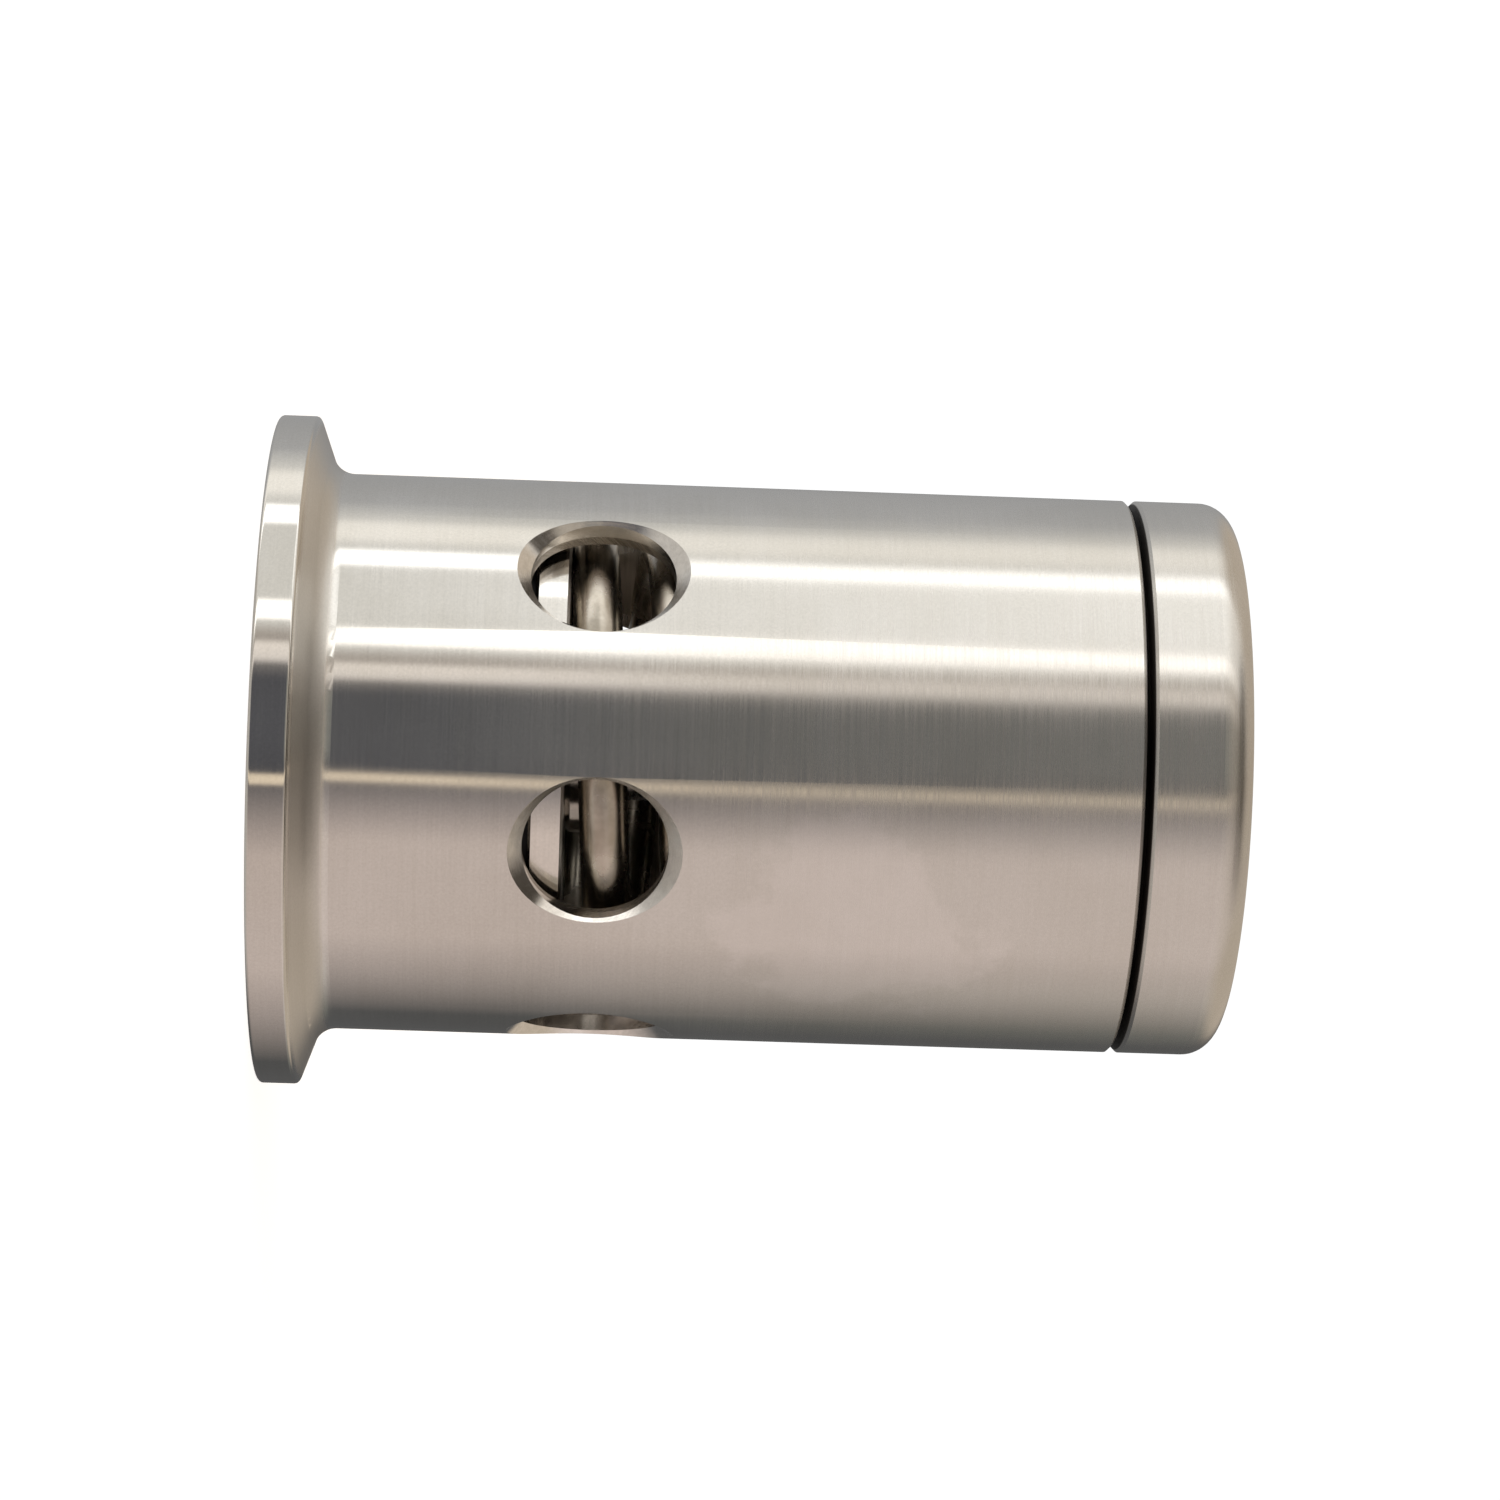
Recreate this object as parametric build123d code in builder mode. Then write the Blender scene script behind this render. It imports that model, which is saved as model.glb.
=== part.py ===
"""Spring-loaded pressure relief valve with a clamp ferrule, as thirteen separate pieces.

Millimetres. The origin is the centre of the ferrule's sealing face, and +Z runs along the valve's
axis towards the cap. One vent faces +X. The valve is closed, and its cap is screwed down.
"""

import os
from math import cos, radians, sin, tan

from build123d import *

os.makedirs("parts", exist_ok=True)

# Ferrule: the sizes of a standard 1.5 inch hygienic clamp ferrule.
FERRULE_RADIUS = 25.25
RIM_THICKNESS = 2.85
RIM_EDGE_RADIUS = 0.3
BACK_ANGLE = 20.0
FERRULE_BORE_RADIUS = 17.4
FERRULE_BORE_LENGTH = 9.5
GROOVE_CENTRE_RADIUS = 21.75
GROOVE_ARC_RADIUS = 2.0
GROOVE_DEPTH = 1.5

# Body.
BODY_RADIUS = 21.0
BODY_TOP_Z = 64.0
ROOT_FILLET = 1.8
CHAMBER_RADIUS = 18.8
THREAD_BORE_RADIUS = 19.5
THREAD_FLOOR_Z = 57.2
EDGE_BREAK = 0.25

# Seat.
SEAT_BORE_RADIUS = 15.0
SEAT_OUTER_RADIUS = 16.6
SEAT_Z = 18.1
SEAT_HEIGHT = 0.6

# Vents through the side wall.
VENT_COUNT = 6
VENT_Z = 24.7
VENT_RADIUS = 5.3
VENT_SINK_RADIUS = 6.3

# Cap.
CAP_GAP = 0.6
OVERALL_LENGTH = 72.0
CAP_FILLET = 2.4
CAP_CORE_RADIUS = 18.75
CAP_LEAD_IN = 0.65
CAP_BOTTOM_Z = 57.5
CAP_POCKET_RADIUS = 3.5
CAP_POCKET_TOP_Z = 67.5
NECK_RADIUS = 17.9
NECK_LENGTH = 2.0

# Ring in the cap's neck.
O_RING_CENTRE_RADIUS = 18.7
O_RING_SECTION_RADIUS = 0.75

# Upper spring seat and its washer and bush.
PLATE_RADIUS = 18.5
PLATE_BOTTOM_Z = 54.0
PLATE_THICKNESS = 2.5
PLATE_SPIGOT_RADIUS = 13.5
PLATE_SPIGOT_HEIGHT = 2.2
WASHER_RADIUS = 16.0
WASHER_BORE_RADIUS = 8.5
BUSH_RADIUS = 4.0
BUSH_FLANGE_RADIUS = 5.6
BUSH_FLANGE_THICKNESS = 1.0
PRESSED_GAP = 0.02

# Valve disc, its seal, and the plate that holds the seal.
DISC_RADIUS = 18.3
DISC_BOTTOM_Z = 19.8
DISC_THICKNESS = 2.5
DISC_EDGE_BREAK = 0.2
SEAL_RADIUS = 17.6
SEAL_BORE_RADIUS = 11.0
RETAINER_RADIUS = 14.6
RETAINER_THICKNESS = 2.0
RETAINER_BOSS_RADIUS = 10.95

# Stem, from the nut at its foot to the guided end.
STEM_THREAD_RADIUS = 2.5
STEM_HOLE_RADIUS = 2.6
STEM_BOTTOM_Z = 10.2
STEM_FOOT_RADIUS = 5.65
STEM_FOOT_HEIGHT = 4.0
STEM_SHANK_RADIUS = 3.0
STEM_GUIDE_RADIUS = 2.5
STEM_TOP_Z = 61.0
STEM_CLEARANCE = 0.05
LIFT = 5.0
STOP_CLEARANCE = 0.05
LOCK_WASHER_RADIUS = 4.6
LOCK_WASHER_THICKNESS = 0.9
LOCK_WASHER_SLIT = 0.6
NUT_FLATS = 8.0
NUT_HEIGHT = 4.0
NUT_BREAK = 0.4

# Spring. Its wire passes SPRING_LOW_Z at SPRING_LOW_AZIMUTH, and climbs right-handed.
WIRE_RADIUS = 1.8
SPRING_MEAN_RADIUS = 15.8
SPRING_PITCH = 5.9
SPRING_LOW_AZIMUTH = -120.0
SPRING_LOW_Z = 24.35

CAP_SEAT_Z = BODY_TOP_Z + CAP_GAP
DISC_TOP_Z = DISC_BOTTOM_Z + DISC_THICKNESS
PLATE_TOP_Z = PLATE_BOTTOM_Z + PLATE_THICKNESS
BUSH_BOTTOM_Z = PLATE_BOTTOM_Z - PLATE_SPIGOT_HEIGHT - BUSH_FLANGE_THICKNESS
RETAINER_BOTTOM_Z = SEAT_Z - RETAINER_THICKNESS
NUT_TOP_Z = RETAINER_BOTTOM_Z - LOCK_WASHER_THICKNESS


def ring(inner, outer, height):
    """A flat ring about the valve's axis, at one height."""
    with BuildSketch(Plane.XY.offset(height)) as face:
        Circle(outer)
        Circle(inner, mode=Mode.SUBTRACT)
    return face.sketch


def save(part, name):
    """Label a finished piece and write its STEP file."""
    part.label = name
    export_step(part, f"parts/{name}.step")


# Valve body: ferrule, barrel, inlet, seat and vents, turned from one bar.
back_rise = (FERRULE_RADIUS - BODY_RADIUS) * tan(radians(BACK_ANGLE))
seat_floor_z = SEAT_Z - SEAT_HEIGHT
inlet_cone_top_z = FERRULE_BORE_LENGTH + FERRULE_BORE_RADIUS - SEAT_BORE_RADIUS
groove_centre_z = GROOVE_DEPTH - GROOVE_ARC_RADIUS
with BuildPart() as valve_body:
    with BuildSketch(Plane.XZ):
        with BuildLine():
            Polyline(
                (FERRULE_BORE_RADIUS, 0),
                (FERRULE_RADIUS, 0),
                (FERRULE_RADIUS, RIM_THICKNESS),
                (BODY_RADIUS, RIM_THICKNESS + back_rise),
                (BODY_RADIUS, BODY_TOP_Z - EDGE_BREAK),
                (BODY_RADIUS - EDGE_BREAK, BODY_TOP_Z),
                (THREAD_BORE_RADIUS + EDGE_BREAK, BODY_TOP_Z),
                (THREAD_BORE_RADIUS, BODY_TOP_Z - EDGE_BREAK),
                (THREAD_BORE_RADIUS, THREAD_FLOOR_Z),
                (CHAMBER_RADIUS, THREAD_FLOOR_Z),
                (CHAMBER_RADIUS, seat_floor_z),
                (SEAT_OUTER_RADIUS + SEAT_HEIGHT, seat_floor_z),
                (SEAT_OUTER_RADIUS, SEAT_Z),
                (SEAT_BORE_RADIUS, SEAT_Z),
                (SEAT_BORE_RADIUS, inlet_cone_top_z),
                (FERRULE_BORE_RADIUS, FERRULE_BORE_LENGTH),
                close=True,
            )
        make_face()
        root = vertices().sort_by_distance((BODY_RADIUS, RIM_THICKNESS + back_rise, 0))
        fillet(root[0], radius=ROOT_FILLET)
        rim_corners = vertices().sort_by_distance((FERRULE_RADIUS, RIM_THICKNESS / 2, 0))
        fillet(rim_corners[:2], radius=RIM_EDGE_RADIUS)
    revolve(axis=Axis.Z)
    with BuildSketch(Plane.XZ):
        with Locations((GROOVE_CENTRE_RADIUS, groove_centre_z)):
            Circle(GROOVE_ARC_RADIUS)
    revolve(axis=Axis.Z, mode=Mode.SUBTRACT)
    vent_azimuths = [radians(360 / VENT_COUNT * index) for index in range(VENT_COUNT)]
    vent_planes = [
        Plane(origin=(BODY_RADIUS * cos(a), BODY_RADIUS * sin(a), VENT_Z), z_dir=(cos(a), sin(a), 0))
        for a in vent_azimuths
    ]
    with Locations(*vent_planes):
        CounterSinkHole(VENT_RADIUS, VENT_SINK_RADIUS, depth=BODY_RADIUS / 2, counter_sink_angle=90)
save(valve_body.part, "valve_body")


# Top cap: head, neck for the ring, and the thread's core with a pocket for the stem's end.
with BuildPart() as top_cap:
    with BuildSketch(Plane.XZ):
        with BuildLine():
            Polyline(
                (0, OVERALL_LENGTH),
                (BODY_RADIUS, OVERALL_LENGTH),
                (BODY_RADIUS, CAP_SEAT_Z + EDGE_BREAK),
                (BODY_RADIUS - EDGE_BREAK, CAP_SEAT_Z),
                (NECK_RADIUS, CAP_SEAT_Z),
                (NECK_RADIUS, CAP_SEAT_Z - NECK_LENGTH),
                (CAP_CORE_RADIUS, CAP_SEAT_Z - NECK_LENGTH),
                (CAP_CORE_RADIUS, CAP_BOTTOM_Z + CAP_LEAD_IN),
                (CAP_CORE_RADIUS - CAP_LEAD_IN, CAP_BOTTOM_Z),
                (CAP_POCKET_RADIUS, CAP_BOTTOM_Z),
                (CAP_POCKET_RADIUS, CAP_POCKET_TOP_Z),
                (0, CAP_POCKET_TOP_Z),
                close=True,
            )
        cap_profile = make_face()
        rim = cap_profile.vertices().sort_by_distance((BODY_RADIUS, OVERALL_LENGTH, 0))
        fillet(rim[0], radius=CAP_FILLET)
    revolve(axis=Axis.Z)
save(top_cap.part, "top_cap")


# Rubber ring in the cap's neck.
with BuildPart() as cap_o_ring:
    with BuildSketch(Plane.XZ):
        with Locations((O_RING_CENTRE_RADIUS, CAP_SEAT_Z - NECK_LENGTH / 2)):
            Circle(O_RING_SECTION_RADIUS)
    revolve(axis=Axis.Z)
save(cap_o_ring.part, "cap_o_ring")


# Slip washer between the turning cap and the spring plate.
with BuildPart() as thrust_washer:
    extrude(ring(WASHER_BORE_RADIUS, WASHER_RADIUS, PLATE_TOP_Z), amount=CAP_BOTTOM_Z - PLATE_TOP_Z)
    chamfer(thrust_washer.edges().filter_by(GeomType.CIRCLE), length=EDGE_BREAK / 2)
save(thrust_washer.part, "thrust_washer")


# Spring plate: the spring's upper seat, with a spigot inside the coils.
bush_hole_radius = BUSH_RADIUS + PRESSED_GAP
with BuildPart() as spring_plate:
    extrude(ring(bush_hole_radius, PLATE_RADIUS, PLATE_BOTTOM_Z), amount=PLATE_THICKNESS)
    extrude(ring(bush_hole_radius, PLATE_SPIGOT_RADIUS, PLATE_BOTTOM_Z), amount=-PLATE_SPIGOT_HEIGHT)
    outer_edges = spring_plate.edges().filter_by(GeomType.CIRCLE).filter_by(
        lambda edge: edge.radius > PLATE_SPIGOT_RADIUS + 1
    )
    chamfer(outer_edges, length=EDGE_BREAK)
save(spring_plate.part, "spring_plate")


# Guide bush, pressed up into the spring plate.
with BuildPart() as guide_bush:
    extrude(ring(STEM_GUIDE_RADIUS + STEM_CLEARANCE, BUSH_RADIUS, BUSH_BOTTOM_Z), amount=PLATE_TOP_Z - BUSH_BOTTOM_Z)
    extrude(ring(BUSH_RADIUS, BUSH_FLANGE_RADIUS, BUSH_BOTTOM_Z), amount=BUSH_FLANGE_THICKNESS)
save(guide_bush.part, "guide_bush")


# Main spring: a right-hand coil of even pitch, whose wire ends lie on the disc and on the plate.
spring_bottom_z = DISC_TOP_Z + WIRE_RADIUS
spring_height = PLATE_BOTTOM_Z - DISC_TOP_Z - 2 * WIRE_RADIUS
start_azimuth = radians(SPRING_LOW_AZIMUTH - 360 * (SPRING_LOW_Z - spring_bottom_z) / SPRING_PITCH)
spring_start = Plane(origin=(0, 0, spring_bottom_z), x_dir=(cos(start_azimuth), sin(start_azimuth), 0))
with BuildPart() as main_spring:
    with BuildLine(spring_start):
        wire_path = Helix(SPRING_PITCH, spring_height, SPRING_MEAN_RADIUS)
    with BuildSketch(Plane(origin=wire_path @ 0, z_dir=wire_path % 0)):
        Circle(WIRE_RADIUS)
    sweep(path=wire_path, is_frenet=True)
save(main_spring.part, "main_spring")


# Valve disc, which the spring holds down.
with BuildPart() as valve_disc:
    extrude(ring(STEM_HOLE_RADIUS, DISC_RADIUS, DISC_BOTTOM_Z), amount=DISC_THICKNESS)
    rim_edges = valve_disc.edges().filter_by(GeomType.CIRCLE).group_by(SortBy.RADIUS)[-1]
    chamfer(rim_edges, length=DISC_EDGE_BREAK)
save(valve_disc.part, "valve_disc")


# Flat rubber seal under the disc.
with BuildPart() as disc_seal:
    extrude(ring(SEAL_BORE_RADIUS, SEAL_RADIUS, SEAT_Z), amount=DISC_BOTTOM_Z - SEAT_Z)
save(disc_seal.part, "disc_seal")


# Retainer that holds the seal against the disc, and hangs in the seat bore.
with BuildPart() as seal_retainer:
    extrude(ring(STEM_HOLE_RADIUS, RETAINER_RADIUS, RETAINER_BOTTOM_Z), amount=RETAINER_THICKNESS)
    extrude(ring(STEM_HOLE_RADIUS, RETAINER_BOSS_RADIUS, SEAT_Z), amount=DISC_BOTTOM_Z - SEAT_Z)
    bottom_edge = seal_retainer.edges().group_by(Axis.Z)[0].sort_by(SortBy.RADIUS)[-1]
    chamfer(bottom_edge, length=2 * EDGE_BREAK)
save(seal_retainer.part, "seal_retainer")


# Stem: threaded foot, flange on the disc, shank, and the thinner end that runs in the bush.
shoulder_z = BUSH_BOTTOM_Z - LIFT - STOP_CLEARANCE
foot_top_z = DISC_TOP_Z + STEM_FOOT_HEIGHT
with BuildPart() as valve_stem:
    with BuildSketch(Plane.XZ):
        with BuildLine():
            Polyline(
                (0, STEM_BOTTOM_Z),
                (STEM_THREAD_RADIUS - NUT_BREAK, STEM_BOTTOM_Z),
                (STEM_THREAD_RADIUS, STEM_BOTTOM_Z + NUT_BREAK),
                (STEM_THREAD_RADIUS, DISC_TOP_Z),
                (STEM_FOOT_RADIUS - NUT_BREAK, DISC_TOP_Z),
                (STEM_FOOT_RADIUS, DISC_TOP_Z + NUT_BREAK),
                (STEM_FOOT_RADIUS, foot_top_z - NUT_BREAK),
                (STEM_FOOT_RADIUS - NUT_BREAK, foot_top_z),
                (STEM_SHANK_RADIUS, foot_top_z),
                (STEM_SHANK_RADIUS, shoulder_z),
                (STEM_GUIDE_RADIUS, shoulder_z),
                (STEM_GUIDE_RADIUS, STEM_TOP_Z - NUT_BREAK),
                (STEM_GUIDE_RADIUS - NUT_BREAK, STEM_TOP_Z),
                (0, STEM_TOP_Z),
                close=True,
            )
        make_face()
    revolve(axis=Axis.Z)
save(valve_stem.part, "valve_stem")


# Split lock washer under the retainer.
with BuildPart() as lock_washer:
    extrude(ring(STEM_HOLE_RADIUS, LOCK_WASHER_RADIUS, NUT_TOP_Z), amount=LOCK_WASHER_THICKNESS)
    with BuildSketch(Plane.XY.offset(NUT_TOP_Z)):
        with Locations((LOCK_WASHER_RADIUS, 0)):
            Rectangle(2 * LOCK_WASHER_RADIUS, LOCK_WASHER_SLIT)
    extrude(amount=LOCK_WASHER_THICKNESS, mode=Mode.SUBTRACT)
save(lock_washer.part, "lock_washer")


# Stem nut: a hexagon with its corners turned off at both ends.
nut_bottom_z = NUT_TOP_Z - NUT_HEIGHT
nut_corner_radius = NUT_FLATS / 2 / cos(radians(30))
with BuildPart() as stem_nut:
    with BuildSketch(Plane.XZ):
        with BuildLine():
            Polyline(
                (STEM_THREAD_RADIUS + PRESSED_GAP, nut_bottom_z),
                (NUT_FLATS / 2, nut_bottom_z),
                (nut_corner_radius, nut_bottom_z + NUT_BREAK),
                (nut_corner_radius, NUT_TOP_Z - NUT_BREAK),
                (NUT_FLATS / 2, NUT_TOP_Z),
                (STEM_THREAD_RADIUS + PRESSED_GAP, NUT_TOP_Z),
                close=True,
            )
        make_face()
    revolve(axis=Axis.Z)
    with BuildSketch(Plane.XY.offset(nut_bottom_z)):
        RegularPolygon(NUT_FLATS / 2, 6, major_radius=False)
    extrude(amount=NUT_HEIGHT, mode=Mode.INTERSECT)
save(stem_nut.part, "stem_nut")
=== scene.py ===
"""Looks for the pressure relief valve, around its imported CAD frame. Metres, +Z along the valve's axis."""

import math

import bmesh
import bpy
from mathutils import Matrix, Vector


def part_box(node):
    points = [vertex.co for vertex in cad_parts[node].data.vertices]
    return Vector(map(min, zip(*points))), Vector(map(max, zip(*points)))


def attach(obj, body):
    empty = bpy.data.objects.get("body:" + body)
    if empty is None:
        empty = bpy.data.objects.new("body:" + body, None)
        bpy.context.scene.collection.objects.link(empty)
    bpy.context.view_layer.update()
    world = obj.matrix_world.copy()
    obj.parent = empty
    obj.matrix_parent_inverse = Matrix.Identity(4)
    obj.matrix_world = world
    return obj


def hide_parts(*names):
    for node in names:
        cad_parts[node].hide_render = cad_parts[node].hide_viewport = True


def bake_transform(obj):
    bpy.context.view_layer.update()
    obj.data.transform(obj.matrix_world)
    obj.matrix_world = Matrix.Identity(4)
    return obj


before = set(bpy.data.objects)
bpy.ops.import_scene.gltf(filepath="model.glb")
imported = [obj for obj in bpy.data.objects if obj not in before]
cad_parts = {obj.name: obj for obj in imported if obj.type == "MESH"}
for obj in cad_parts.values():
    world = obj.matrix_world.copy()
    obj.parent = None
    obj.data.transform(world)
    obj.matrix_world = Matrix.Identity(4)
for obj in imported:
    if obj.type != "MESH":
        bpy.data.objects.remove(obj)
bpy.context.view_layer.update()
MM = 0.001

# The camera stands off the barrel's side, level with the vents, and is rolled so that the valve's axis runs to the
# right. It is aimed a little away from square to the axis, and the axis tilts a little down the picture.
CAMERA_AZIMUTH = math.radians(-78.6)
CAMERA_DISTANCE = 341.1 * MM
CAMERA_HEIGHT = 24.9 * MM
CAMERA_SIDE = -1.1 * MM
CAMERA_AIM = math.radians(1.9)
AXIS_TILT = math.radians(1.9)
LENS = 107.66
SENSOR = 36.0

# What the looks take from the CAD.
VENT_COUNT = 6
VENT_HEIGHT = 24.7 * MM
VENT_SINK_RADIUS = 6.4 * MM
BARREL_RADIUS = 21.0 * MM
WALL_INNER_RADIUS = 18.7 * MM
BORE_LIMIT = 19.6 * MM
RIM_POLISH_RADIUS = 25.0 * MM
ROOT_FROM = 21.03 * MM
ROOT_HEIGHT = (2.9 * MM, 3.2 * MM)
GAP_LOW = 63.93 * MM
GAP_HIGH = 64.67 * MM
DISC_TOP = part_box("valve_disc")[1].z
PLATE_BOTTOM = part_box("thrust_washer")[0].z - 2.5 * MM

# The steel. Grooves are counted per metre; paired heights and radii are where a change starts and where it is full.
FINE_LINES = 9000.0
COARSE_LINES = 1900.0
GROOVE_DEPTH = 2.2e-6
DARK_TONE = (0.93, 0.925, 0.91)
WORN_HEIGHT = (8.0 * MM, 44.0 * MM)
HANDLED_PATCH = (15.0 * MM, -14.5 * MM, 43.5 * MM)
HANDLED_COLOUR = (0.90, 0.87, 0.86, 1.0)
PATCH_RADIUS = (10.0 * MM, 6.5 * MM)
PATCH_RAGGED = 4.0 * MM
# Painted highlight on the vents' sunk rims: two paler tones of the steel, mixed at random.
SUNK_HIGHLIGHT_COLOURS = ((0.82, 0.80, 0.77, 1.0), (0.90, 0.88, 0.85, 1.0))
# Painted shade inside the barrel: two darker, browner tones of the steel.
BORE_SHADE_COLOURS = ((0.36, 0.33, 0.29, 1.0), (0.50, 0.46, 0.41, 1.0))
# Painted shade: the near-black colour of the faces inside the gap under the cap.
GAP_SHADE_COLOUR = (0.05, 0.045, 0.04, 1.0)
GAP_BLUR = 0.08 * MM

# Spring: closed and ground ends, and even coils between them.
WIRE_RADIUS = 1.8 * MM
COIL_RADIUS = 15.8 * MM
OPEN_PITCH = 5.8 * MM
CLOSED_PITCH = 1.85 * MM
END_TURNS = 0.61
EASE_FROM = 0.41
GROUND_OFF = 0.97 * MM
WIRE_START_AZIMUTH = math.radians(-319.6)
SPRING_SPLIT = 44.0 * MM

# Cap thread.
THREAD_PITCH = 1.5 * MM
THREAD_CORE = 18.7 * MM
THREAD_CREST = 19.4 * MM
THREAD_BOTTOM = 58.3 * MM
THREAD_TOP = 62.4 * MM
THREAD_FOOT_HALF = 0.72 * MM
THREAD_FLANK_HALF = 0.16 * MM
THREAD_CREST_HALF = 0.10 * MM


class Nodes:
    """Short ways to add and join shader nodes in one tree."""

    def __init__(self, tree):
        self.tree = tree

    def add(self, kind, inputs=(), **settings):
        made = self.tree.nodes.new(kind)
        for key, value in settings.items():
            setattr(made, key, value)
        for key, value in dict(inputs).items():
            self.put(value, made.inputs[key])
        return made

    def put(self, value, socket):
        if isinstance(value, bpy.types.NodeSocket):
            self.tree.links.new(value, socket)
        else:
            socket.default_value = value

    def math(self, operation, *values):
        made = self.tree.nodes.new("ShaderNodeMath")
        made.operation = operation
        for index, value in enumerate(values):
            self.put(value, made.inputs[index])
        return made.outputs[0]

    def vector(self, operation, *values):
        made = self.tree.nodes.new("ShaderNodeVectorMath")
        made.operation = operation
        for index, value in enumerate(values):
            self.put(value, made.inputs[index])
        return made.outputs["Value"] if operation in ("LENGTH", "DOT_PRODUCT") else made.outputs["Vector"]

    def combine(self, x, y, z):
        return self.add("ShaderNodeCombineXYZ", {"X": x, "Y": y, "Z": z}).outputs[0]

    def step(self, value, low, high):
        """0 below low, 1 above high, smooth between. high may be under low, to turn it round."""
        made = self.add("ShaderNodeMapRange", interpolation_type="SMOOTHSTEP")
        if high < low:
            self.put(1.0, made.inputs["To Min"])
            self.put(0.0, made.inputs["To Max"])
            low, high = high, low
        self.put(value, made.inputs["Value"])
        self.put(low, made.inputs["From Min"])
        self.put(high, made.inputs["From Max"])
        return made.outputs["Result"]

    def remap(self, value, low, high, to_low, to_high):
        made = self.add("ShaderNodeMapRange", {"Value": value})
        for key, number in (("From Min", low), ("From Max", high), ("To Min", to_low), ("To Max", to_high)):
            self.put(number, made.inputs[key])
        return made.outputs["Result"]

    def noise(self, vector, scale, detail=2.0, roughness=0.5):
        values = {"Vector": vector, "Scale": scale, "Detail": detail, "Roughness": roughness}
        return self.add("ShaderNodeTexNoise", values).outputs["Fac"]

    def mix(self, factor, first, second):
        made = self.add("ShaderNodeMix", data_type="RGBA")
        self.put(factor, made.inputs[0])
        self.put(first, made.inputs[6])
        self.put(second, made.inputs[7])
        return made.outputs[2]

    def mix_vector(self, factor, first, second):
        made = self.add("ShaderNodeMix", data_type="VECTOR")
        self.put(factor, made.inputs[0])
        self.put(first, made.inputs[4])
        self.put(second, made.inputs[5])
        return made.outputs[1]


def material(name):
    """A new material, its node helper and its Principled shader."""
    made = bpy.data.materials.new(name)
    made.use_nodes = True
    return made, Nodes(made.node_tree), made.node_tree.nodes["Principled BSDF"]


def turned_coordinates(nodes):
    """Places on a surface turned about Z: the point, its parts, radius, round direction, and way along the profile."""
    point = nodes.add("ShaderNodeTexCoord").outputs["Object"]
    parts = nodes.add("ShaderNodeSeparateXYZ", {"Vector": point}).outputs
    flat = nodes.combine(parts["X"], parts["Y"], 0.0)
    radius = nodes.vector("LENGTH", flat)
    around = nodes.vector("NORMALIZE", flat)
    profile = nodes.math("ADD", radius, parts["Z"])
    return point, parts, radius, around, profile


def groove_vector(nodes, around, profile, drift, lines_per_metre):
    """A texture vector that changes fast across the grooves and slowly, by drift, along them."""
    slow = nodes.vector("MULTIPLY", around, (drift, drift, 0.0))
    fast = nodes.combine(0.0, 0.0, nodes.math("MULTIPLY", profile, lines_per_metre))
    return nodes.vector("ADD", slow, fast)


def vent_zone(nodes, parts, radius):
    """Mask of the vents' sunk rims, the distance from a vent's own axis, and the direction round that axis."""
    step = 2 * math.pi / VENT_COUNT
    azimuth = nodes.math("ARCTAN2", parts["Y"], parts["X"])
    share = nodes.math("DIVIDE", azimuth, step)
    off = nodes.math("MULTIPLY", nodes.math("SUBTRACT", share, nodes.math("ROUND", share)), step)
    vent_azimuth = nodes.math("SUBTRACT", azimuth, off)
    across = nodes.math("MULTIPLY", radius, nodes.math("SINE", off))
    up = nodes.math("SUBTRACT", parts["Z"], VENT_HEIGHT)
    from_axis = nodes.math("SQRT", nodes.math("ADD", nodes.math("POWER", across, 2.0), nodes.math("POWER", up, 2.0)))
    side_x = nodes.math("MULTIPLY", nodes.math("SINE", vent_azimuth), up)
    side_y = nodes.math("MULTIPLY", nodes.math("COSINE", vent_azimuth), nodes.math("MULTIPLY", up, -1.0))
    round_vent = nodes.combine(side_x, side_y, across)
    near = nodes.step(from_axis, VENT_SINK_RADIUS + 0.05 * MM, VENT_SINK_RADIUS)
    below_skin = nodes.step(radius, BARREL_RADIUS - 0.01 * MM, BARREL_RADIUS - 0.03 * MM)
    in_wall = nodes.step(radius, WALL_INNER_RADIUS, WALL_INNER_RADIUS + 0.1 * MM)
    mask = nodes.math("MULTIPLY", nodes.math("MULTIPLY", near, below_skin), in_wall)
    return mask, from_axis, round_vent


def wear(nodes, point, parts, radius, smudge, tint, rough):
    """The rim's polish, the rougher root of the ferrule's back, and the handled patch on the barrel's side."""
    polished = nodes.step(radius, RIM_POLISH_RADIUS - 0.3 * MM, RIM_POLISH_RADIUS)
    rough = nodes.math("SUBTRACT", rough, nodes.math("MULTIPLY", polished, 0.05))
    outside = nodes.step(radius, ROOT_FROM, ROOT_FROM + 0.15 * MM)
    root = nodes.math("MULTIPLY", outside, nodes.step(parts["Z"], *ROOT_HEIGHT))
    rough = nodes.math("ADD", rough, nodes.math("MULTIPLY", root, 0.24))
    from_patch = nodes.vector("LENGTH", nodes.vector("SUBTRACT", point, HANDLED_PATCH))
    ragged = nodes.remap(nodes.noise(point, 190.0, 5.0, 0.6), 0.3, 0.7, -PATCH_RAGGED, PATCH_RAGGED)
    reach = nodes.math("ADD", from_patch, ragged)
    smeared = nodes.remap(smudge, 0.3, 0.7, 0.6, 1.0)
    handled = nodes.math("MULTIPLY", nodes.step(reach, *PATCH_RADIUS), smeared)
    tint = nodes.mix(nodes.math("MULTIPLY", handled, 0.4), tint, HANDLED_COLOUR)
    return tint, rough


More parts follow.
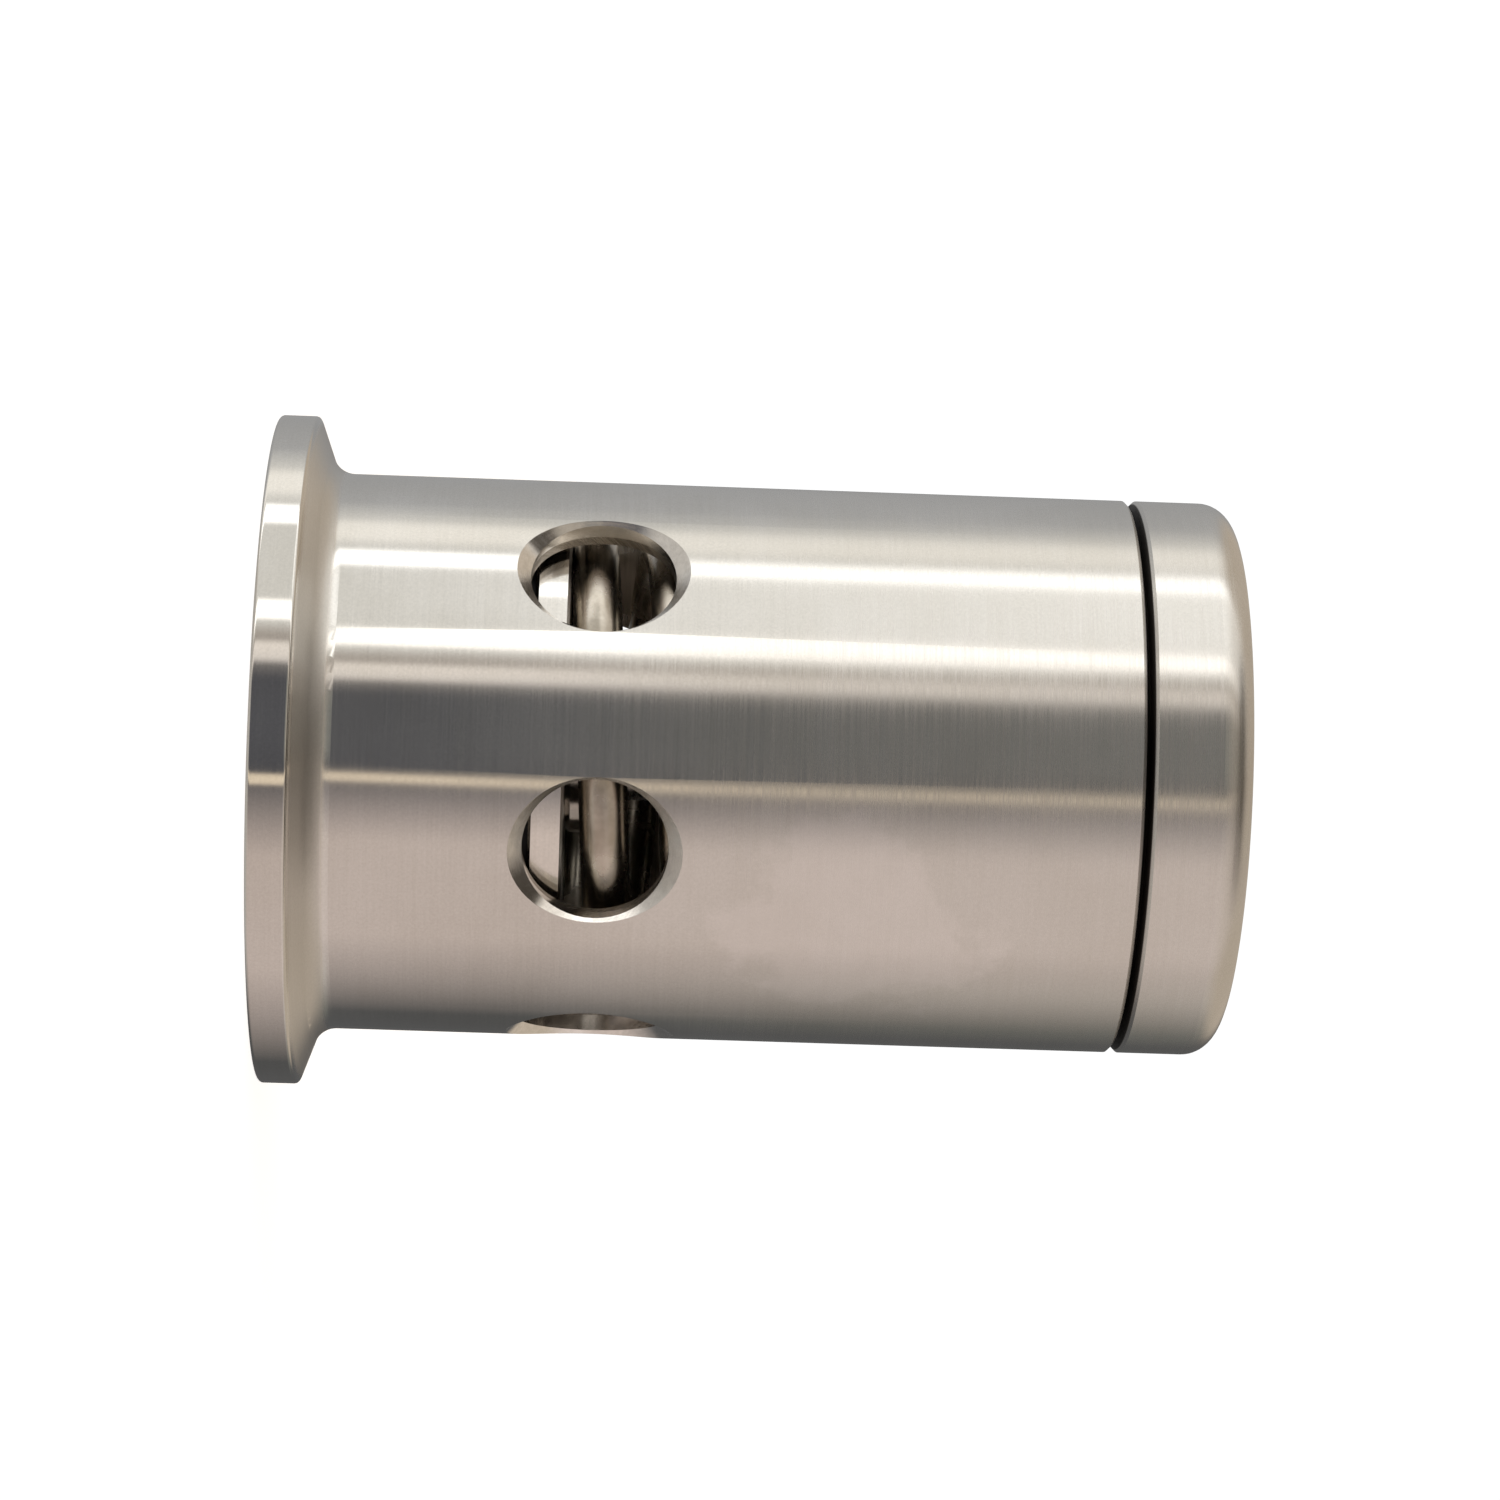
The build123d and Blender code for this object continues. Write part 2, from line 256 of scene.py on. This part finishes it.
def sunk_rims(nodes, point, parts, radius, looks):
    """The vents' sunk rims: a paler colour that is a painted highlight, mottled at random, a little smoother, and cut
    round each vent's own axis.
    """
    tint, rough, height, grooves = looks
    mask, from_axis, round_vent = vent_zone(nodes, parts, radius)
    out = nodes.math("MULTIPLY", from_axis, 5200.0)
    marks_vector = nodes.combine(out, nodes.math("MULTIPLY", radius, 900.0), 0.0)
    marks = nodes.noise(marks_vector, 1.0, 2.0, 0.6)
    chatter = nodes.noise(point, 1800.0, 3.0, 0.6)
    tint = nodes.mix(mask, tint, nodes.mix(nodes.step(chatter, 0.35, 0.65), *SUNK_HIGHLIGHT_COLOURS))
    rough = nodes.math("SUBTRACT", rough, nodes.math("MULTIPLY", mask, 0.03))
    vent_height = nodes.math("ADD", nodes.math("MULTIPLY", marks, 2.5), nodes.math("MULTIPLY", chatter, 0.5))
    height = nodes.add("ShaderNodeMix", {0: mask, 2: height, 3: vent_height}, data_type="FLOAT").outputs[0]
    grooves = nodes.mix_vector(mask, grooves, nodes.vector("NORMALIZE", round_vent))
    return tint, rough, height, grooves


def bore_painted_shade(nodes, parts, radius, coarse, tint, rough):
    """Painted shade inside the barrel: darker, browner steel, mixed at random between two tones; it is also duller."""
    inside = nodes.step(radius, BORE_LIMIT, BORE_LIMIT - 0.1 * MM)
    deep = nodes.math("MULTIPLY", inside, nodes.step(parts["Z"], 0.1 * MM, 1.0 * MM))
    tint = nodes.mix(deep, tint, nodes.mix(nodes.step(coarse, 0.35, 0.65), *BORE_SHADE_COLOURS))
    return tint, nodes.math("ADD", rough, nodes.math("MULTIPLY", deep, 0.10))


def gap_painted_shade(nodes, parts, radius, tint, rough):
    """Painted shade on the faces inside the gap under the cap: a near-black colour, and more roughness. It is still
    there when the cap is unscrewed.
    """
    above = nodes.step(parts["Z"], GAP_LOW, GAP_LOW + GAP_BLUR)
    within = nodes.math("MULTIPLY", above, nodes.step(parts["Z"], GAP_HIGH, GAP_HIGH - GAP_BLUR))
    under_skin = nodes.step(radius, BARREL_RADIUS - 0.06 * MM, BARREL_RADIUS - 0.16 * MM)
    painted_shade = nodes.math("MULTIPLY", within, under_skin)
    tint = nodes.mix(painted_shade, tint, GAP_SHADE_COLOUR)
    return tint, nodes.math("ADD", rough, nodes.math("MULTIPLY", painted_shade, 0.3))


def turned_steel(name, colour, roughness, vents=False, bores=False, gap=False, line_depth=1.0):
    """Stainless steel with fine turning grooves, faint handling marks and slow changes of tone; optionally with a
    painted highlight on the vents' sunk rims, painted shade inside the bore, and painted shade in the gap under the
    cap.
    """
    made, nodes, shader = material(name)
    point, parts, radius, around, profile = turned_coordinates(nodes)
    fine = nodes.noise(groove_vector(nodes, around, profile, 2.5, FINE_LINES), 1.0, 3.0, 0.6)
    coarse = nodes.noise(groove_vector(nodes, around, profile, 1.3, COARSE_LINES), 1.0, 2.0, 0.6)
    cloud = nodes.noise(point, 75.0, 4.0, 0.55)
    smudge = nodes.noise(point, 420.0, 5.0, 0.65)
    scratch_vector = nodes.vector("MULTIPLY", point, (900.0, 900.0, 5200.0))
    scratch = nodes.noise(scratch_vector, 1.0, 6.0, 0.75)

    tone = nodes.math("ADD", nodes.math("MULTIPLY", cloud, 0.8), nodes.math("MULTIPLY", coarse, 0.2))
    light = (*colour, 1.0)
    dark = (*(part * share for part, share in zip(colour, DARK_TONE)), 1.0)
    tint = nodes.mix(nodes.step(tone, 0.36, 0.64), dark, light)
    grain = nodes.remap(nodes.noise(point, 5200.0, 2.0, 0.6), 0.3, 0.7, 0.965, 1.035)
    mottle = nodes.math("ADD", nodes.remap(fine, 0.3, 0.7, -0.016, 0.016), grain)
    tint = nodes.vector("MULTIPLY", tint, nodes.combine(mottle, mottle, mottle))
    worn = nodes.step(parts["Z"], *WORN_HEIGHT)
    clouded = nodes.remap(cloud, 0.3, 0.7, roughness * 0.9, roughness * 1.1)
    rough = nodes.math("MULTIPLY", nodes.remap(worn, 0.0, 1.0, 0.62, 1.04), clouded)
    lined = nodes.remap(fine, 0.3, 0.7, -0.045, 0.045)
    rough = nodes.math("ADD", rough, nodes.math("MULTIPLY", nodes.remap(worn, 0.0, 1.0, 0.35, 1.0), lined))
    height = nodes.math("ADD", nodes.math("MULTIPLY", fine, 0.35), nodes.math("MULTIPLY", coarse, 0.65))
    height = nodes.math("ADD", height, nodes.math("MULTIPLY", nodes.step(scratch, 0.63, 0.75), 0.15))
    height = nodes.math("ADD", height, nodes.math("MULTIPLY", smudge, 0.18))
    grooves = nodes.vector("CROSS_PRODUCT", (0.0, 0.0, 1.0), around)
    if vents:
        tint, rough = wear(nodes, point, parts, radius, smudge, tint, rough)
        looks = (tint, rough, height, grooves)
        tint, rough, height, grooves = sunk_rims(nodes, point, parts, radius, looks)
    if bores:
        tint, rough = bore_painted_shade(nodes, parts, radius, coarse, tint, rough)
    if gap:
        tint, rough = gap_painted_shade(nodes, parts, radius, tint, rough)
    bump = nodes.add("ShaderNodeBump", {"Height": height, "Strength": 1.0, "Distance": GROOVE_DEPTH * line_depth})
    nodes.put(tint, shader.inputs["Base Color"])
    nodes.put(rough, shader.inputs["Roughness"])
    nodes.put(bump.outputs["Normal"], shader.inputs["Normal"])
    nodes.put(grooves, shader.inputs["Tangent"])
    nodes.put(1.0, shader.inputs["Metallic"])
    nodes.put(0.85, shader.inputs["Anisotropic"])
    nodes.put(0.25, shader.inputs["Anisotropic Rotation"])
    return made


def wire_steel(name):
    """Drawn spring wire: duller and browner than the turned parts, with faint die marks and specks."""
    made, nodes, shader = material(name)
    point = nodes.add("ShaderNodeTexCoord").outputs["Object"]
    cloud = nodes.noise(point, 260.0, 4.0, 0.6)
    speck = nodes.noise(point, 1900.0, 5.0, 0.7)
    drawn = nodes.noise(nodes.vector("MULTIPLY", point, (500.0, 500.0, 4200.0)), 1.0, 3.0, 0.6)
    tint = nodes.mix(nodes.step(cloud, 0.32, 0.68), (0.42, 0.38, 0.32, 1.0), (0.66, 0.61, 0.54, 1.0))
    tint = nodes.mix(nodes.step(speck, 0.62, 0.74), tint, (0.26, 0.23, 0.20, 1.0))
    rough = nodes.remap(cloud, 0.3, 0.7, 0.20, 0.32)
    height = nodes.math("ADD", nodes.math("MULTIPLY", drawn, 0.6), nodes.math("MULTIPLY", speck, 0.4))
    bump = nodes.add("ShaderNodeBump", {"Height": height, "Strength": 1.0, "Distance": 6.0e-6})
    nodes.put(tint, shader.inputs["Base Color"])
    nodes.put(rough, shader.inputs["Roughness"])
    nodes.put(bump.outputs["Normal"], shader.inputs["Normal"])
    nodes.put(1.0, shader.inputs["Metallic"])
    return made


def rubber(name):
    """Black moulded rubber with a fine grain and a trace of dust."""
    made, nodes, shader = material(name)
    point = nodes.add("ShaderNodeTexCoord").outputs["Object"]
    grain = nodes.noise(point, 5200.0, 3.0, 0.6)
    dust = nodes.noise(point, 700.0, 5.0, 0.7)
    tint = nodes.mix(nodes.step(dust, 0.55, 0.80), (0.012, 0.012, 0.013, 1.0), (0.045, 0.043, 0.040, 1.0))
    bump = nodes.add("ShaderNodeBump", {"Height": grain, "Strength": 1.0, "Distance": 8.0e-6})
    nodes.put(tint, shader.inputs["Base Color"])
    nodes.put(nodes.remap(dust, 0.3, 0.7, 0.52, 0.68), shader.inputs["Roughness"])
    nodes.put(bump.outputs["Normal"], shader.inputs["Normal"])
    return made


def slippery_plastic(name):
    """White bearing plastic with turning marks."""
    made, nodes, shader = material(name)
    point, _, _, around, profile = turned_coordinates(nodes)
    lines = nodes.noise(groove_vector(nodes, around, profile, 1.5, 4200.0), 1.0, 2.0, 0.6)
    cloud = nodes.noise(point, 180.0, 4.0, 0.6)
    tint = nodes.mix(nodes.step(cloud, 0.3, 0.7), (0.78, 0.76, 0.71, 1.0), (0.88, 0.87, 0.84, 1.0))
    bump = nodes.add("ShaderNodeBump", {"Height": lines, "Strength": 1.0, "Distance": 7.0e-6})
    nodes.put(tint, shader.inputs["Base Color"])
    nodes.put(nodes.remap(cloud, 0.3, 0.7, 0.38, 0.50), shader.inputs["Roughness"])
    nodes.put(bump.outputs["Normal"], shader.inputs["Normal"])
    nodes.put(0.15, shader.inputs["Subsurface Weight"])
    return made


def mesh_object(name, build):
    """A new smooth-shaded object whose mesh build(bm) fills."""
    bm = bmesh.new()
    build(bm)
    bmesh.ops.recalc_face_normals(bm, faces=bm.faces)
    mesh = bpy.data.meshes.new(name)
    bm.to_mesh(mesh)
    bm.free()
    mesh.shade_smooth()
    made = bpy.data.objects.new(name, mesh)
    bpy.context.scene.collection.objects.link(made)
    return made


def tube(bm, rings):
    """Skin a closed tube over rings of points, with a flat cap on each end."""
    loops = [[bm.verts.new(place) for place in ring] for ring in rings]
    for before, after in zip(loops, loops[1:]):
        count = len(before)
        for index in range(count):
            step = (index + 1) % count
            bm.faces.new((before[index], before[step], after[step], after[index]))
    bm.faces.new(loops[0])
    bm.faces.new(loops[-1])


def ease(value):
    value = min(max(value, 0.0), 1.0)
    return value * value * (3 - 2 * value)


def wire_heights(steps_per_turn):
    """Heights of the wire's centre, one per step: slow at both ground ends, and even between them."""
    low = DISC_TOP + WIRE_RADIUS - GROUND_OFF
    high = PLATE_BOTTOM - WIRE_RADIUS + GROUND_OFF
    end = [low]
    for step in range(int(END_TURNS * steps_per_turn)):
        turn = (step + 0.5) / steps_per_turn
        pitch = CLOSED_PITCH + (OPEN_PITCH - CLOSED_PITCH) * ease((turn - EASE_FROM) / (END_TURNS - EASE_FROM))
        end.append(end[-1] + pitch / steps_per_turn)
    rise = end[-1] - low
    open_steps = round((high - low - 2 * rise) / OPEN_PITCH * steps_per_turn)
    open_rise = (high - low - 2 * rise) / open_steps
    middle = [end[-1] + open_rise * (step + 1) for step in range(open_steps)]
    closing = [high - (height - low) for height in reversed(end[:-1])]
    return end + middle + closing


def wire_ring(height, slope, azimuth, sides):
    """One ring of the wire's skin, square to the wire, and ground flat where it would pass its seat."""
    out = Vector((math.cos(azimuth), math.sin(azimuth), 0.0))
    along = Vector((-out.y, out.x, slope)).normalized()
    up = along.cross(out) * -1.0
    centre = out * COIL_RADIUS + Vector((0.0, 0.0, height))
    places = []
    for side in range(sides):
        angle = 2 * math.pi * side / sides
        place = centre + (out * math.cos(angle) + up * math.sin(angle)) * WIRE_RADIUS
        place.z = min(max(place.z, DISC_TOP), PLATE_BOTTOM)
        places.append(place)
    return places


def spring_rings(steps_per_turn=96, sides=48):
    """The whole wire's rings, and the centre height of each."""
    heights = wire_heights(steps_per_turn)
    turn = 2 * math.pi / steps_per_turn
    rings = []
    for index, height in enumerate(heights):
        ahead = heights[min(index + 1, len(heights) - 1)]
        behind = heights[max(index - 1, 0)]
        slope = (ahead - behind) / (2 * turn * COIL_RADIUS)
        rings.append(wire_ring(height, slope, WIRE_START_AZIMUTH + turn * index, sides))
    return rings, heights


def make_spring(steel):
    """The spring as a lower and an upper stretch of wire, split at SPRING_SPLIT."""
    rings, heights = spring_rings()
    split = next(index for index, height in enumerate(heights) if height > SPRING_SPLIT)
    lower = mesh_object("spring_lower", lambda bm: tube(bm, rings[: split + 1]))
    upper = mesh_object("spring_upper", lambda bm: tube(bm, rings[split:]))
    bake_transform(lower)
    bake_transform(upper)
    for piece in (lower, upper):
        piece.data.materials.append(steel)
        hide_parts("main_spring")


def make_cap_thread(steel):
    """The ridge of the cap's thread, wound round its core and run out at both ends."""
    steps_per_turn = 144
    turns = (THREAD_TOP - THREAD_BOTTOM) / THREAD_PITCH
    count = round(turns * steps_per_turn)
    rings = []
    for index in range(count + 1):
        azimuth = 2 * math.pi * index / steps_per_turn
        height = THREAD_BOTTOM + (THREAD_TOP - THREAD_BOTTOM) * index / count
        run_out = ease(min(index, count - index) / (steps_per_turn / 6))
        crest = THREAD_CORE + (THREAD_CREST - THREAD_CORE) * max(run_out, 0.08)
        section = (
            (THREAD_CORE - 0.1 * MM, -THREAD_FOOT_HALF),
            (crest - 0.04 * MM, -THREAD_FLANK_HALF),
            (crest, -THREAD_CREST_HALF),
        )
        section += tuple((radius, -half) for radius, half in reversed(section))
        out = (math.cos(azimuth), math.sin(azimuth))
        rings.append([Vector((r * out[0], r * out[1], height + w)) for r, w in section])
    thread = mesh_object("cap_thread", lambda bm: tube(bm, rings))
    thread.data.set_sharp_from_angle(angle=math.radians(30))
    thread.data.materials.append(steel)
    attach(thread, "cap")


def paint():
    """Give every CAD node its material."""
    steel = (0.74, 0.725, 0.70)
    # The body and the cap carry painted shade in the gap under the cap; the body also has painted shade in its bore and
    # a painted highlight on the vents' sunk rims.
    body = turned_steel("turned_body_steel", steel, 0.25, vents=True, bores=True, gap=True)
    cap = turned_steel("turned_cap_steel", steel, 0.25, gap=True)
    # The disc's lighter copy of the turned steel is painted light.
    disc_painted_light = turned_steel("painted_light_disc_steel", (0.86, 0.84, 0.81), 0.22)
    plain = turned_steel("plain_turned_steel", (0.66, 0.63, 0.59), 0.32, line_depth=1.6)
    wire = wire_steel("spring_wire_steel")
    black = rubber("black_rubber")
    white = slippery_plastic("white_bearing_plastic")
    looks = {
        "valve_body": body, "top_cap": cap, "valve_disc": disc_painted_light, "spring_plate": plain,
        "seal_retainer": plain, "valve_stem": plain, "lock_washer": plain, "stem_nut": plain,
        "main_spring": wire, "cap_o_ring": black, "disc_seal": black,
        "thrust_washer": white, "guide_bush": white,
    }
    for node, look in looks.items():
        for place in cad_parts[node].material_slots:
            place.material = look
    return cap, wire


TABLE = (0.65, 0.55, 0.50)
DARK_WALL = (0.10, 0.10, 0.11)
CEILING = (0.85, 0.83, 0.78)

# The room round the valve: the angle in degrees that each colour stands at, from the camera's side and up the picture.
# A warm table is below, a dark wall behind the camera, a pale ceiling above and a dim room beyond. The angles and
# levels were set so that the bands on the barrel lie where the photograph's do.
ROOM = (
    (-180, (0.10, 0.10, 0.10)), (-135, (0.10, 0.10, 0.10)), (-80, TABLE), (-36, TABLE), (-8, DARK_WALL),
    (24, DARK_WALL), (39, (0.50, 0.45, 0.40)), (44, CEILING), (110, CEILING), (125, (0.50, 0.50, 0.50)),
    (180, (0.30, 0.30, 0.30)),
)

# Long lamps in that room: the angle of each one's middle, half its width, how soft its sides are, and its colour.
LAMPS = (
    (103.0, 3.0, 7.0, (0.30, 0.28, 0.25)),
    (87.0, 3.0, 2.5, (1.15, 1.15, 1.15)),
    (48.0, 2.5, 2.0, (1.20, 1.15, 1.10)),
    (33.0, 2.0, 3.0, (0.65, 0.60, 0.55)),
    (-10.0, 1.0, 1.5, (0.85, 0.70, 0.50)),
)

# Softer lamps that stand only towards the cap's end: the same four values.
CAP_END_LAMPS = (
    (68.0, 8.0, 14.0, (0.60, 0.60, 0.60)),
    (12.0, 10.0, 10.0, (0.15, 0.15, 0.12)),
    (-65.0, 35.0, 30.0, (0.10, 0.10, 0.10)),
    (-120.0, 12.0, 22.0, (0.10, 0.10, 0.08)),
)
CAP_END_WALL = (0.55, 0.47, 0.38)
CAP_END_DARK = (0.06, 0.05, 0.04)
FERRULE_END_WALL = (0.55, 0.52, 0.48)

# Where those ends' lights start and where they are full, along the axis or towards the camera, as shares of a direction
# one long.
CAP_END_LAMPS_ALONG = (0.0, 0.13)
HAZE_ALONG = (0.2, 0.6)
HAZE_SHARE = 0.55
FAR_SIDE_ALONG = (0.25, 0.45)
FAR_SIDE_TOWARDS = (0.12, -0.12)
NEAR_SIDE_ALONG = (0.76, 0.88)
NEAR_SIDE_TOWARDS = (-0.05, 0.12)
FERRULE_END_ALONG = (-0.55, -0.85)

GROUND_GLOW = 1.05
FLOOR_COLOUR = (0.86, 0.86, 0.86, 1.0)
FLOOR_GLOW = 0.72


def add_lamps(nodes, light, share, lamps, gain):
    """Light with the lamps added, each over its own share of the way round."""
    for angle, half, soft, colour in lamps:
        off = nodes.math("ABSOLUTE", nodes.math("SUBTRACT", share, (angle + 180) / 360))
        lit = nodes.math("MULTIPLY", nodes.step(off, (half + soft) / 360, half / 360), gain)
        light = nodes.vector("ADD", light, nodes.vector("MULTIPLY", nodes.combine(lit, lit, lit), colour))
    return light


def make_world():
    """Long soft lights that stand round the valve, parallel to its axis, against a plain white ground."""
    world = bpy.data.worlds.new("studio")
    bpy.context.scene.world = world
    world.use_nodes = True
    tree = world.node_tree
    nodes = Nodes(tree)
    tree.nodes.clear()
    direction = nodes.add("ShaderNodeTexCoord").outputs["Generated"]
    facing = {"Vector": direction, "Angle": -CAMERA_AZIMUTH}
    turned = nodes.add("ShaderNodeVectorRotate", facing, rotation_type="Z_AXIS")
    parts = nodes.add("ShaderNodeSeparateXYZ", {"Vector": turned.outputs[0]}).outputs
    azimuth = nodes.math("ARCTAN2", parts["Y"], parts["X"])
    share = nodes.math("FRACT", nodes.math("SUBTRACT", 0.5, nodes.math("DIVIDE", azimuth, 2 * math.pi)))
    ramp = nodes.add("ShaderNodeValToRGB", {"Fac": share})
    stops = ramp.color_ramp.elements
    for index, (angle, colour) in enumerate(ROOM):
        place = (angle + 180) / 360
        stop = stops[index] if index < 2 else stops.new(place)
        stop.position = place
        stop.color = (*colour, 1.0)
    towards_cap = nodes.step(parts["Z"], *CAP_END_LAMPS_ALONG)
    light = add_lamps(nodes, ramp.outputs["Color"], share, LAMPS, 1.0)
    light = add_lamps(nodes, light, share, CAP_END_LAMPS, towards_cap)
    haze = nodes.math("MULTIPLY", nodes.step(parts["Z"], *HAZE_ALONG), HAZE_SHARE)
    light = nodes.mix(haze, light, (*CAP_END_WALL, 1.0))
    ends = (
        (FAR_SIDE_ALONG, FAR_SIDE_TOWARDS, CAP_END_WALL),
        (NEAR_SIDE_ALONG, NEAR_SIDE_TOWARDS, CAP_END_DARK),
    )
    for along, towards, colour in ends:
        side = nodes.math("MULTIPLY", nodes.step(parts["Z"], *along), nodes.step(parts["X"], *towards))
        light = nodes.mix(side, light, (*colour, 1.0))
    light = nodes.mix(nodes.step(parts["Z"], *FERRULE_END_ALONG), light, (*FERRULE_END_WALL, 1.0))
    seen = nodes.add("ShaderNodeBackground", {"Color": (1.0, 1.0, 1.0, 1.0), "Strength": GROUND_GLOW})
    cast = nodes.add("ShaderNodeBackground", {"Color": light, "Strength": 1.0})
    camera_ray = nodes.add("ShaderNodeLightPath").outputs["Is Camera Ray"]
    both = nodes.add("ShaderNodeMixShader", {0: camera_ray, 1: cast.outputs[0], 2: seen.outputs[0]})
    nodes.add("ShaderNodeOutputWorld", {"Surface": both.outputs[0]})


def make_floor():
    """A plain pale floor that glows a little, so that it stays as light as the ground behind."""
    def build(bm):
        bmesh.ops.create_circle(bm, cap_ends=True, segments=128, radius=3.0)

    floor = mesh_object("floor", build)
    made = bpy.data.materials.new("pale_floor")
    made.use_nodes = True
    tree = made.node_tree
    tree.nodes.clear()
    nodes = Nodes(tree)
    diffuse = nodes.add("ShaderNodeBsdfDiffuse", {"Color": FLOOR_COLOUR})
    glow = nodes.add("ShaderNodeEmission", {"Color": (1.0, 1.0, 1.0, 1.0), "Strength": FLOOR_GLOW})
    lit = nodes.add("ShaderNodeAddShader", {0: diffuse.outputs[0], 1: glow.outputs[0]})
    clear = nodes.add("ShaderNodeBsdfTransparent")
    under = nodes.add("ShaderNodeNewGeometry").outputs["Backfacing"]
    both = nodes.add("ShaderNodeMixShader", {0: under, 1: lit.outputs[0], 2: clear.outputs[0]})
    nodes.add("ShaderNodeOutputMaterial", {"Surface": both.outputs[0]})
    floor.data.materials.append(made)
    floor.visible_glossy = False


def make_camera():
    """The photograph's view."""
    axis = Vector((
        math.cos(CAMERA_AIM) * math.cos(AXIS_TILT),
        -math.cos(CAMERA_AIM) * math.sin(AXIS_TILT),
        -math.sin(CAMERA_AIM),
    ))
    up = Vector((0.0, 0.0, 1.0))
    towards = (up - axis * up.dot(axis)).normalized()
    side = axis.cross(towards)
    out = Vector((math.cos(CAMERA_AZIMUTH), math.sin(CAMERA_AZIMUTH), 0.0))
    round_side = Vector((-out.y, out.x, 0.0))
    turn = Matrix((out, round_side, up)).transposed() @ Matrix((towards, side, axis))
    data = bpy.data.cameras.new("camera")
    data.lens = LENS
    data.sensor_width = SENSOR
    data.clip_start = 0.01
    data.clip_end = 20.0
    camera = bpy.data.objects.new("camera", data)
    bpy.context.scene.collection.objects.link(camera)
    place = out * CAMERA_DISTANCE + round_side * CAMERA_SIDE + up * CAMERA_HEIGHT
    camera.matrix_world = Matrix.Translation(place) @ turn.to_4x4()
    bpy.context.scene.camera = camera


cap_steel, spring_steel = paint()
make_spring(spring_steel)
make_cap_thread(cap_steel)
make_world()
make_floor()
make_camera()
bpy.context.scene.view_settings.view_transform = "Standard"
